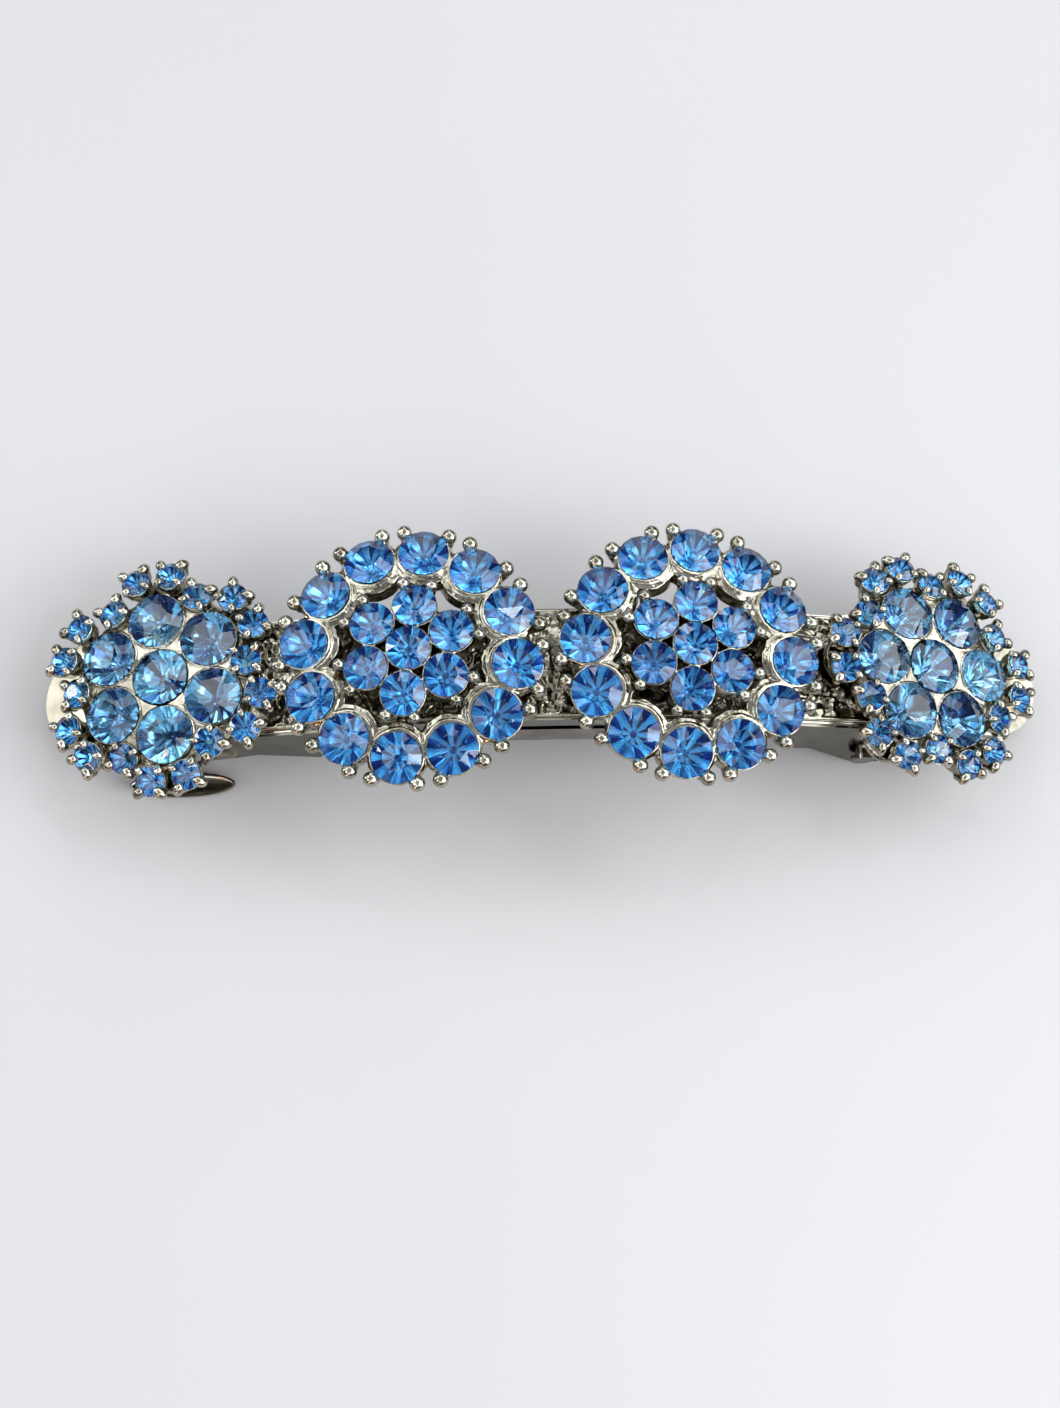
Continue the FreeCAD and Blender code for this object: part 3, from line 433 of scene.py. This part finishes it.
def loop_faces(count, rows):
    """Faces of a closed band: count sections of rows points each."""
    faces = []
    for i in range(count):
        after = ((i + 1) % count) * rows
        for j in range(rows):
            k = (j + 1) % rows
            faces.append((i * rows + j, i * rows + k, after + k, after + j))
    return faces


def add_shell(bm, points, faces, matrix):
    verts = [bm.verts.new(matrix @ p) for p in points]
    for corners in faces:
        bm.faces.new([verts[i] for i in corners])


def lathe(bm, profile, matrix, count):
    """Solid of revolution about the matrix's Z; profile runs from axis to axis."""
    points, rows = [], []
    for radius, height in profile:
        if radius < ON_AXIS:
            rows.append([len(points)])
            points.append(up(height))
        else:
            rows.append(list(range(len(points), len(points) + count)))
            points += ring(radius, count, height)
    faces = []
    for low, high in zip(rows, rows[1:]):
        for i in range(count):
            j = (i + 1) % count
            if len(low) == 1:
                faces.append((low[0], high[j], high[i]))
            elif len(high) == 1:
                faces.append((low[i], low[j], high[0]))
            else:
                faces.append((low[i], low[j], high[j], high[i]))
    add_shell(bm, points, faces, matrix)


def ball(bm, radius, matrix, rows=8):
    profile = [(0.0, -radius)]
    for i in range(1, rows):
        angle = math.pi * i / rows - math.pi / 2
        profile.append((radius * math.cos(angle), radius * math.sin(angle)))
    profile.append((0.0, radius))
    lathe(bm, profile, matrix, 2 * rows)


def rod(bm, start, end, radius_start, radius_end, count=14):
    way = end - start
    aim = way.to_track_quat("Z", "Y").to_matrix().to_4x4()
    profile = [(0, 0), (radius_start, 0), (radius_end, way.length), (0, way.length)]
    lathe(bm, profile, Matrix.Translation(start) @ aim, count)


def finish_mesh(bm, name, materials, smooth=True):
    mesh = bpy.data.meshes.new(name)
    bmesh.ops.recalc_face_normals(bm, faces=bm.faces)
    bm.to_mesh(mesh)
    bm.free()
    for material in materials:
        mesh.materials.append(material)
    if smooth:
        mesh.shade_smooth()
    else:
        mesh.shade_flat()
    piece = bpy.data.objects.new(name, mesh)
    bpy.context.collection.objects.link(piece)
    return piece


def apply_modifiers(piece):
    depsgraph = bpy.context.evaluated_depsgraph_get()
    mesh = bpy.data.meshes.new_from_object(piece.evaluated_get(depsgraph))
    piece.modifiers.clear()
    piece.data = mesh


def stand_in(piece, node, slot_name):
    """The piece rides on the clip body and is seen in place of the CAD node."""
    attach(piece, CLIP)
    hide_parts(node)


# ------------------------------------------------------------------ stones

# shares of a stone's diameter
CROWN = 0.16
PAVILION = 0.447
BAND = 0.02
# shares of its radius
TABLE = 0.52
GIRDLE = 0.995
KEEL = 0.16
CUT_ERROR = 0.012
# share of the pavilion's depth, and degrees
KEEL_DEPTH = 0.86
SEAT_ERROR = 1.5

# ranges of each facet's foil value, with a random pick inside each range; the star's dark and
# bright wedges in turn are painted reflections, and the lean is how strongly facets are painted
# darker towards one side, as painted shade
DARK_WEDGE = (-0.15, 0.18)
BRIGHT_WEDGE = (0.65, 1.3)
BROAD_WEDGE = (0.1, 1.5)
CULET = (0.0, 0.6)
STAR_TONES = (DARK_WEDGE, BRIGHT_WEDGE, CULET)
BROAD_TONES = (BROAD_WEDGE, BROAD_WEDGE, CULET)
STAR_SHADE_LEAN = 0.20
BROAD_SHADE_LEAN = 0.80
PAINTED_SHADE_SIDE = Vector((0.45, 0.9, 0.0))


def stone_facets():
    """Corner numbers of the front and back facets, for the points in add_stone's order."""
    t, u, d, k, c = 0, 8, 24, 40, 48
    front = [tuple(range(8))]
    back = []
    for i in range(8):
        j = (i + 1) % 8
        a, b, e = 2 * i, (2 * i + 1) % 16, (2 * i + 2) % 16
        front.append((t + i, u + a, u + b))
        front.append((t + i, u + b, t + j))
        front.append((t + j, u + b, u + e))
        back.append((k + i, d + b, d + a))
        back.append((k + i, k + j, d + e, d + b))
        back.append((c, k + j, k + i))
    for i in range(16):
        j = (i + 1) % 16
        front.append((u + i, d + i, d + j, u + j))
    return front, back


def add_stone(bm, seat, shuffle, broad):
    """Round chaton: table, kites and triangles above; wedges and a culet below."""
    size = 2 * seat.radius
    band = size * BAND
    crown = ring(seat.radius * TABLE, 8, band + size * CROWN)
    upper = ring(seat.radius * GIRDLE, 16, band, -math.pi / 16)
    lower = ring(seat.radius * GIRDLE, 16, -band, -math.pi / 16)
    keel = ring(seat.radius * KEEL, 8, -band - KEEL_DEPTH * size * PAVILION)
    culet = [up(-band - size * PAVILION)]
    for point in keel + crown:
        point += Vector([shuffle.gauss(0, CUT_ERROR * seat.radius) for _ in range(3)])
    tilt = Matrix.Rotation(math.radians(shuffle.gauss(0, SEAT_ERROR)), 4, "X")
    tilt = tilt @ Matrix.Rotation(math.radians(shuffle.gauss(0, SEAT_ERROR)), 4, "Y")
    spin = Matrix.Rotation(shuffle.uniform(0, math.pi / 4), 4, "Z")
    matrix = seat.matrix() @ tilt @ spin
    verts = [bm.verts.new(matrix @ p) for p in crown + upper + lower + keel + culet]
    painted_facet_light = bm.faces.layers.float.get("painted_facet_light") or bm.faces.layers.float.new("painted_facet_light")
    tones, lean = (BROAD_TONES, BROAD_SHADE_LEAN) if broad else (STAR_TONES, STAR_SHADE_LEAN)
    front, back = stone_facets()
    for corners in front:
        bm.faces.new([verts[i] for i in corners]).material_index = 0
    for i, corners in enumerate(back):
        face = bm.faces.new([verts[i] for i in corners])
        face.material_index = 1
        aside = (face.calc_center_median() - seat.centre) / seat.radius
        # painted reflection and shade: a random value from the facet's range, darker towards one
        # side of the stone
        face[painted_facet_light] = shuffle.uniform(*tones[i % 3]) - lean * aside.dot(PAINTED_SHADE_SIDE)


def make_stones(side, kind, seats, looks, shuffle):
    for group, places in seats.items():
        node = f"{side}_{kind}_{group}_" + ("stone" if group == "centre" else "stones")
        glass, back, slot_name = looks[group]
        bm = bmesh.new()
        for seat in places:
            add_stone(bm, seat, shuffle, slot_name == "pale_stone")
        piece = finish_mesh(bm, f"{node}_cut", [glass, back], smooth=False)
        stand_in(piece, node, slot_name)


# ------------------------------------------------------------------ parts of the castings

BEZEL = 0.07 * MM
STONE_FIT = 0.01 * MM
CUP_CHAMFER = 0.08 * MM
LIP_CHAMFER = 0.03 * MM
# depths below the girdle
CUP_LIP = 0.08 * MM
CUP_CORNER = 0.12 * MM
CUP_LEDGE = 0.14 * MM
CUP_SHOULDER = 0.35 * MM
# the cup's inside, in shares of its inner radius and the stone's radius
CUP_WALL = (0.55, 0.52)
CUP_BOTTOM = (0.10, 0.92)
CUP_CENTRE = 0.94

COLLAR_COUNT = 72
COLLAR_RIPPLE = 0.10 * MM
RIPPLE_SIZE = 0.45 * MM
# the wall's middle width and its change from the inner to the outer side, in millimetres
COLLAR_WIDTH = 0.49
COLLAR_SHIFT = 0.42
# share of the seat's radius, share of the wall's width, height in millimetres
COLLAR_SECTION = (
    (0.97, 0.0, -0.07),
    (0.97, 0.40, -0.11),
    (0.97, 0.50, -0.24),
    (0.97, 0.86, -0.30),
    (0.97, 1.0, -0.42),
    (0.97, 0.88, -0.60),
    (0.97, 0.97, -0.78),
    (0.97, 0.97, -1.60),
    (0.97, 0.85, -1.70),
    (0.80, 0.0, -1.70),
)

# degrees from outwards, reach from the seat's axis, head radius, head height, foot depth
RIM_PRONG = (45, 2.5 * MM, 0.63 * MM, -0.15 * MM, 1.3 * MM)
PETAL_PRONG = (32, 2.08 * MM, 0.50 * MM, 0.05 * MM, 1.5 * MM)
# places of foot and knee as shares of the reach and of the foot's depth
FOOT_REACH = 0.78
KNEE_REACH = 0.97
KNEE_DEPTH = 0.45
# thickness as shares of the head's radius
FOOT_THICKNESS = 0.80
KNEE_THICKNESS = 0.74
NECK_THICKNESS = 0.70

# degrees from outwards, reach from the seat's axis, head radius, head height
OUTER_CLAW = (45, 1.27 * MM, 0.44 * MM, 0.12 * MM)
INNER_CLAW = (135, 1.14 * MM, 0.31 * MM, 0.16 * MM)
CLAW_LEAN = math.radians(28)
CLAW_STRETCH = Matrix.Diagonal(Vector((1.4, 1.0, 1.0, 1.0)))
CLAW_FOOT = 0.9 * MM
# foot and neck, as shares of the reach and of the head's radius
CLAW_REACH = (0.82, 1.08)
CLAW_THICKNESS = (0.9, 0.8)


def add_cup(bm, seat, depth, taper, count=40):
    """Open cup with a thin bezel; its inside follows the stone's back."""
    outer = seat.radius + BEZEL
    inner = seat.radius - STONE_FIT
    profile = [
        (0, -depth),
        (outer * taper - CUP_CHAMFER, -depth),
        (outer * taper, -depth + CUP_CHAMFER),
        (outer, -CUP_SHOULDER),
        (outer, -CUP_CORNER),
        (outer - LIP_CHAMFER, -CUP_LIP),
        (inner, -CUP_LIP),
        (inner, -CUP_LEDGE),
        (inner * CUP_WALL[0], -CUP_WALL[1] * seat.radius - CUP_LEDGE),
        (inner * CUP_BOTTOM[0], -CUP_BOTTOM[1] * seat.radius),
        (0, -CUP_CENTRE * seat.radius),
    ]
    lathe(bm, profile, seat.matrix(), count)


def add_collar(bm, seat):
    """Stepped wall round the cup: wide towards the wreath's middle, almost flush outside."""
    points = []
    for i in range(COLLAR_COUNT):
        way = around(1.0, 2 * math.pi * i / COLLAR_COUNT)
        width = (COLLAR_WIDTH - COLLAR_SHIFT * way.x) * MM
        for base, share, height in COLLAR_SECTION:
            spot = way * (base * seat.radius + share * width) + up(height * MM)
            wave = noise.noise((seat.matrix() @ spot) / RIPPLE_SIZE)
            points.append(spot + share * COLLAR_RIPPLE * wave * (way + up(1)))
    add_shell(bm, points, loop_faces(COLLAR_COUNT, len(COLLAR_SECTION)), seat.matrix())


def add_prongs(bm, seat, degrees, reach, head_radius, rise, foot_depth):
    """Two posts up the cup's side that swell into ball heads beside the stone."""
    matrix = seat.matrix()
    knee_radius = head_radius * KNEE_THICKNESS
    for angle in (-degrees, degrees):
        out = around(1.0, math.radians(angle))
        foot = matrix @ (out * reach * FOOT_REACH + up(rise - foot_depth))
        knee = matrix @ (out * reach * KNEE_REACH + up(rise - KNEE_DEPTH * foot_depth))
        head = matrix @ (out * reach + up(rise))
        rod(bm, foot, knee, head_radius * FOOT_THICKNESS, knee_radius)
        rod(bm, knee, head, knee_radius, head_radius * NECK_THICKNESS)
        ball(bm, knee_radius, Matrix.Translation(knee))
        ball(bm, head_radius, Matrix.Translation(head))


def add_claws(bm, seat, degrees, reach, head_radius, rise):
    """Two short claws whose long heads lean over the stone's edge."""
    lean = Matrix.Rotation(CLAW_LEAN, 4, "Y")
    for angle in (-degrees, degrees):
        matrix = seat.matrix() @ Matrix.Rotation(math.radians(angle), 4, "Z")
        place = matrix @ Matrix.Translation(Vector((reach, 0, rise))) @ lean
        ball(bm, head_radius, place @ CLAW_STRETCH)
        foot = matrix @ Vector((reach * CLAW_REACH[0], 0, -CLAW_FOOT))
        neck = matrix @ Vector((reach * CLAW_REACH[1], 0, rise))
        rod(bm, foot, neck, *(head_radius * share for share in CLAW_THICKNESS))


# ------------------------------------------------------------------ wreaths and domes

WREATH_RISE = 4.5 * MM
RIM_CUP = (1.9 * MM, 0.86)
PETAL_CUP = (2.2 * MM, 0.95)
CENTRE_CUP = (2.3 * MM, 0.95)
STEM = ((0, -0.3), (3.25, -0.3), (3.15, 0.5), (2.55, 1.2), (2.7, 2.5), (0, 2.7))
RING_RADIUS = 6.95 * MM
RING_HEIGHT = 1.2 * MM
RING_THICKNESS = 0.5 * MM
# a strut's start from its stone, and its end from the middle of the wreath's foot
STRUT_START = 1.2
STRUT_REACH = 7.0
STRUT_RISE = 1.3
STRUT_RADII = (0.55 * MM, 0.48 * MM)

DOME_RISE = 2.15 * MM
LARGE_CUP = (2.25 * MM, 0.6)
SMALL_CUP = (1.45 * MM, 0.8, 24)
SHEET = (
    (0, 0.25),
    (6.9, 0.25),
    (7.25, 0.6),
    (7.0, 1.25),
    (5.6, 1.86),
    (3.2, 2.10),
    (0, 2.16),
)
HOLLOW_GAP = 0.05 * MM
HOLLOW_DEPTH = 0.97
HOLLOW_EDGE = 0.12 * MM
HOLLOW_TOP = 1.5 * MM
FOOT = ((0, -0.35), (3.25, -0.35), (3.0, 0.45), (1.2, 0.45), (0, -0.1))
LOBE = ((0, 0.3), (1.9, 0.3), (2.0, 0.65), (1.8, 0.95), (0, 1.0))
LOBE_REACH = 7.1

MOTIF_SEED = 11
SKIN_VOXEL = 0.075 * MM
SKIN_SMOOTHING = 0.5
SKIN_PASSES = 3
SKIN_KEPT = 0.28


def add_wreath_ring(bm, matrix, count=96, rows=12):
    points = []
    for i in range(count):
        for j in range(rows):
            angle = math.radians(360 * j / rows)
            reach = RING_RADIUS + RING_THICKNESS * math.cos(angle)
            height = RING_HEIGHT + RING_THICKNESS * math.sin(angle)
            points.append(around(reach, 2 * math.pi * i / count, height))
    add_shell(bm, points, loop_faces(count, rows), matrix)


def make_wreath(side, seats, cast):
    """Openwork wreath: collared rim cups, flower of cups on a stem, ring and six struts."""
    bm = bmesh.new()
    middle = seats["centre"][0]
    normal = middle.axis
    strip_top = middle.centre - normal * WREATH_RISE
    base = Matrix.Translation(strip_top) @ middle.turn()
    for seat in seats["rim"]:
        add_cup(bm, seat, *RIM_CUP)
        add_collar(bm, seat)
        add_prongs(bm, seat, *RIM_PRONG)
    for seat in seats["petal"]:
        add_cup(bm, seat, *PETAL_CUP)
        add_prongs(bm, seat, *PETAL_PRONG)
    add_cup(bm, middle, *CENTRE_CUP)
    lathe(bm, in_mm(STEM), base, 48)
    add_wreath_ring(bm, base)
    for seat in seats["petal"]:
        out = seat.outwards
        start = seat.centre + out * STRUT_START * MM - seat.axis * STRUT_START * MM
        end = strip_top + out * STRUT_REACH * MM + normal * STRUT_RISE * MM
        rod(bm, start, end, *STRUT_RADII)
    return finish_mesh(bm, f"{side}_wreath_casting", [cast])


def make_sheet(side, seats, base, cast):
    """The dome's sheet, with a hollow for each large stone."""
    bm = bmesh.new()
    lathe(bm, in_mm(SHEET), base, 72)
    sheet = finish_mesh(bm, f"{side}_dome_sheet", [cast])
    bm = bmesh.new()
    for seat in seats:
        edge = seat.radius + HOLLOW_GAP
        bottom = -HOLLOW_DEPTH * seat.radius
        hollow = [(0, bottom), (edge, -HOLLOW_EDGE), (edge, HOLLOW_TOP), (0, HOLLOW_TOP)]
        lathe(bm, hollow, seat.matrix(), 40)
    carve(sheet, finish_mesh(bm, f"{side}_dome_cutters", [cast]))
    return sheet


def make_dome(side, seats, cast):
    """Scalloped sheet that rises to the large stones' girdles, with small clawed cups round it."""
    middle = seats["centre"][0]
    large = seats["petal"] + seats["centre"]
    base = Matrix.Translation(middle.centre - middle.axis * DOME_RISE) @ middle.turn()
    sheet = make_sheet(side, large, base, cast)
    bm = bmesh.new()
    bm.from_mesh(sheet.data)
    bpy.data.objects.remove(sheet)
    for seat in large:
        add_cup(bm, seat, *LARGE_CUP)
    for seat in seats["rim"] + seats["valley"]:
        add_cup(bm, seat, *SMALL_CUP)
        add_claws(bm, seat, *OUTER_CLAW)
        add_claws(bm, seat, *INNER_CLAW)
    lathe(bm, in_mm(FOOT), base, 48)
    for seat in seats["petal"]:
        lobe = base.copy()
        lobe.translation = base.translation + seat.outwards * LOBE_REACH * MM
        lathe(bm, in_mm(LOBE), lobe, 32)
    return finish_mesh(bm, f"{side}_dome_casting", [cast])


def carve(piece, cutters):
    """Cuts the cutters out of the piece and throws them away."""
    tool = piece.modifiers.new("carve", "BOOLEAN")
    tool.operation = "DIFFERENCE"
    tool.solver = "EXACT"
    tool.use_self = True
    tool.object = cutters
    apply_modifiers(piece)
    bpy.data.objects.remove(cutters)


def cast_skin(piece):
    """Melts the overlapping shells into one casting with soft inner corners."""
    remesh = piece.modifiers.new("melt", "REMESH")
    remesh.mode = "VOXEL"
    remesh.voxel_size = SKIN_VOXEL
    soften = piece.modifiers.new("soften", "SMOOTH")
    soften.factor = SKIN_SMOOTHING
    soften.iterations = SKIN_PASSES
    thin = piece.modifiers.new("thin", "DECIMATE")
    thin.ratio = SKIN_KEPT
    apply_modifiers(piece)
    piece.data.shade_smooth()


def make_motifs(looks, cast):
    shuffle = random.Random(MOTIF_SEED)
    for side in SIDES:
        wreath = motif_seats(side, "wreath", ("petal", "rim"))
        dome = motif_seats(side, "dome", ("petal", "rim", "valley"))
        make_stones(side, "wreath", wreath, looks["wreath"], shuffle)
        make_stones(side, "dome", dome, looks["dome"], shuffle)
        castings = {
            "wreath": make_wreath(side, wreath, cast),
            "dome": make_dome(side, dome, cast),
        }
        for kind, piece in castings.items():
            cast_skin(piece)
            stand_in(piece, f"{side}_{kind}_setting", "cast_metal")


# ------------------------------------------------------------------ strip

ARCH_RADIUS = 105.5 * MM
ARCH_APEX = 10.0 * MM
STRIP_SWEEP = math.radians(17.55)
STRIP_HALF_WIDTH = 4.38 * MM
STRIP_STEPS, STRIP_COLUMNS = 600, 80
# heights over the plate
STRIP_BOTTOM = 0.02 * MM
STRIP_LOWEST = 0.05 * MM
STRIP_HIGHEST = 0.47 * MM
BORDER_WIDTH = 0.22 * MM
BORDER_HEIGHT = 0.42 * MM
WRINKLE_SIZE = 1.5 * MM
WRINKLE_BASE = 0.06 * MM
WRINKLE_HEIGHT = 0.28 * MM
WRINKLE_OCTAVES = 3
BEAD_SEED = 5
BEAD_COUNT = 700
BEAD_REACH = 0.8 * MM
# radii in millimetres, heights as shares of a bead's radius; a pit's is negative
BEAD_RADII = (0.18, 0.62)
BEAD_HEIGHTS = (-0.7, 0.5, 0.65)
BEAD_ROUNDNESS = 0.7


def on_arch(along_arc, across, lift):
    """Point above the plate: distance along its arched top, across it, and height over it."""
    angle = along_arc / ARCH_RADIUS
    reach = ARCH_RADIUS + lift
    rise = ARCH_APEX - ARCH_RADIUS + reach * math.cos(angle)
    return Vector((reach * math.sin(angle), across, rise))


def scatter_beads(length):
    """(radius, height) of each bead and pit in the strip's top, and a tree of their places."""
    shuffle = random.Random(BEAD_SEED)
    beads = []
    tree = kdtree.KDTree(BEAD_COUNT)
    for i in range(BEAD_COUNT):
        along_arc = shuffle.uniform(-length, length)
        across = shuffle.uniform(-1, 1) * STRIP_HALF_WIDTH
        size = shuffle.uniform(*BEAD_RADII) * MM
        beads.append((size, shuffle.choice(BEAD_HEIGHTS) * size))
        tree.insert(Vector((along_arc, across, 0)), i)
    tree.balance()
    return beads, tree


def rough_height(along_arc, across, beads, tree):
    """Height of the strip's cast top: wrinkles with beads and pits, and a smooth border."""
    if STRIP_HALF_WIDTH - abs(across) <= BORDER_WIDTH:
        return BORDER_HEIGHT
    spot = Vector((along_arc, across, 0))
    wrinkle = noise.turbulence(spot / WRINKLE_SIZE, WRINKLE_OCTAVES, True)
    lift = WRINKLE_BASE + WRINKLE_HEIGHT * wrinkle
    for _, index, gap in tree.find_range(spot, BEAD_REACH):
        size, height = beads[index]
        if gap < size:
            lift += height * (1 - (gap / size) ** 2) ** BEAD_ROUNDNESS
    return min(max(STRIP_LOWEST, lift), STRIP_HIGHEST)


def make_strip(cast):
    """Rough cast strip between the plate and the motifs."""
    length = STRIP_SWEEP * ARCH_RADIUS
    beads, tree = scatter_beads(length)
    points, faces = [], []
    for i in range(STRIP_STEPS + 1):
        along_arc = length * (2 * i / STRIP_STEPS - 1)
        for j in range(STRIP_COLUMNS + 1):
            across = STRIP_HALF_WIDTH * (2 * j / STRIP_COLUMNS - 1)
            lift = rough_height(along_arc, across, beads, tree)
            points.append(on_arch(along_arc, across, lift))
        points.append(on_arch(along_arc, STRIP_HALF_WIDTH, STRIP_BOTTOM))
        points.append(on_arch(along_arc, -STRIP_HALF_WIDTH, STRIP_BOTTOM))
    loop = STRIP_COLUMNS + 3
    for i in range(STRIP_STEPS):
        for j in range(loop):
            a, b = i * loop + j, i * loop + (j + 1) % loop
            faces.append((a, b, b + loop, a + loop))
    faces.append(tuple(range(loop)))
    faces.append(tuple(range(STRIP_STEPS * loop, (STRIP_STEPS + 1) * loop)))
    bm = bmesh.new()
    add_shell(bm, points, faces, Matrix())
    stand_in(finish_mesh(bm, "backing_strip_casting", [cast]), "backing_strip", "cast_metal")


# ------------------------------------------------------------------ the whole clip


def make_metals():
    # per metal: how much painted shade goes into the hollows, how much darker flat faces are than
    # the painted highlights on crests, and how much painted shade falls on upright faces
    cast = metal(
        "cast_rhodium",
        light=(0.54, 0.515, 0.435),
        dark=(0.25, 0.23, 0.175),
        shine=(0.05, 0.20),
        grain_size=5200.0,
        grain_depth=0.00003,
        recess_shade_amount=0.95,
        flat=0.72,
    )
    plate = metal(
        "plate_nickel",
        light=(0.54, 0.52, 0.45),
        dark=(0.40, 0.38, 0.315),
        shine=(0.08, 0.22),
        grain_size=3000.0,
        grain_depth=0.00001,
        recess_shade_amount=0.4,
        # painted shade on the plate's upright flanges
        wall=0.35,
    )
    arm = metal(
        "arm_steel",
        light=(0.33, 0.30, 0.255),
        dark=(0.20, 0.175, 0.14),
        shine=(0.08, 0.24),
        grain_size=2600.0,
        grain_depth=0.00001,
        recess_shade_amount=0.6,
    )
    spring = metal(
        "spring_nickel",
        light=(0.56, 0.55, 0.50),
        dark=(0.46, 0.45, 0.41),
        shine=(0.08, 0.20),
        grain_size=4000.0,
        grain_depth=0.00001,
        recess_shade_amount=0.4,
    )
    return cast, plate, arm, spring


def make_looks():
    """Front, foil and slot name of the stones in each group of each motif."""
    sapphire = (
        crystal("sapphire_front", (0.25, 0.63, 1.0)),
        foil("sapphire_foil", (0.60, 0.88, 1.0), (0.02, 0.06, 0.22), haze=(0.20, 0.25)),
        "sapphire_stone",
    )
    pale = (
        crystal("pale_front", (0.37, 0.72, 1.0)),
        foil("pale_foil", (0.76, 0.94, 1.0), (0.02, 0.04, 0.12), haze=(0.11, 0.15)),
        "pale_stone",
    )
    return {
        "wreath": {"centre": sapphire, "petal": sapphire, "rim": sapphire},
        "dome": {"centre": pale, "petal": pale, "rim": sapphire, "valley": sapphire},
    }


def paint_cad(material, *nodes):
    for node in nodes:
        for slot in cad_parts[node].material_slots:
            slot.material = material


def main():
    make_camera()
    make_lights()
    make_floor()
    cast, plate, arm, spring = make_metals()
    make_motifs(make_looks(), cast)
    paint_cad(plate, "top_plate", "hinge_pin", "catch_rivets", "tension_bar_rivet")
    paint_cad(arm, "clasp_arm")
    paint_cad(spring, "tension_bar", "catch_base", "catch_wing_front", "catch_wing_back")
    make_strip(cast)


main()
